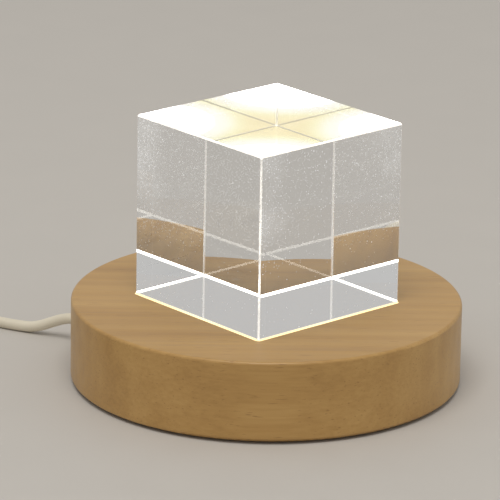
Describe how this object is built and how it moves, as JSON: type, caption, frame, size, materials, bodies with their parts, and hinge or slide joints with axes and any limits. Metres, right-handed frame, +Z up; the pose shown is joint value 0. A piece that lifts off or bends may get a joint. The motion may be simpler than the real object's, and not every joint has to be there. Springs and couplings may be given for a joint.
{
  "type": "lit display cube",
  "caption": "Clear bevelled display cube standing loose on a round wooden light base, lit from below through a frosted window, with a low-voltage cord, in-line rocker switch and plug.",
  "frame": {"origin": "centre of the round base, on the surface that it stands on", "axes": "+Z up; X and Y square to the cube's side faces; the cord leaves the base at the back, close to +Y"},
  "size_m": [0.1925, 0.148, 0.0725],
  "materials": {
    "clear_acrylic": "polished",
    "turned_wood": "satin",
    "frosted_window": "matte",
    "board_white": "satin",
    "chip_white": "satin",
    "phosphor": "satin",
    "resistor_black": "satin",
    "screw_steel": "satin",
    "lead_red": "satin",
    "lead_black": "satin",
    "cover_black": "matte",
    "foot_rubber": "matte",
    "cord_cream": "satin",
    "nylon_white": "satin",
    "shell_cream": "satin",
    "rocker_cream": "satin",
    "terminal_brass": "satin",
    "leaf_bronze": "satin",
    "tie_black": "matte",
    "plug_steel": "satin"
  },
  "bodies": {
    "base": {"wood_base": "turned_wood", "light_window": "frosted_window", "led_board": "board_white", "led_chips": "chip_white", "led_phosphors": "phosphor", "board_resistors": "resistor_black", "board_screws": "screw_steel", "lead_red": "lead_red", "lead_black": "lead_black", "base_cover": "cover_black", "cover_screws": "screw_steel", "rubber_feet": "foot_rubber", "cord_grommet": "cord_cream", "cord_stop_tie": "nylon_white", "cord_run": "cord_cream", "switch_lower_shell": "shell_cream", "switch_upper_shell": "shell_cream", "rocker_pin": "screw_steel", "switch_terminals": "terminal_brass", "switch_leaf": "leaf_bronze", "switch_screws": "screw_steel", "cord_bridge": "cord_cream", "cord_coil": "cord_cream", "cord_tail": "cord_cream", "coil_tie": "tie_black", "plug_grip": "shell_cream", "plug_shell": "plug_steel", "plug_tongue": "nylon_white", "plug_contacts": "terminal_brass"},
    "cube": {"acrylic_cube": "clear_acrylic"},
    "rocker": {"switch_rocker": "rocker_cream"}
  },
  "joints": [
    {"name": "cube_lift", "type": "slide", "parent": "base", "child": "cube", "axis": [0, 0, 1], "range_m": [0, 0.08]},
    {"name": "rocker_tip", "type": "hinge", "parent": "base", "child": "rocker", "pos_m": [-0.08, 0.089, 0.0072], "axis": [0, 1, 0], "range_deg": [-16, 0]}
  ]
}
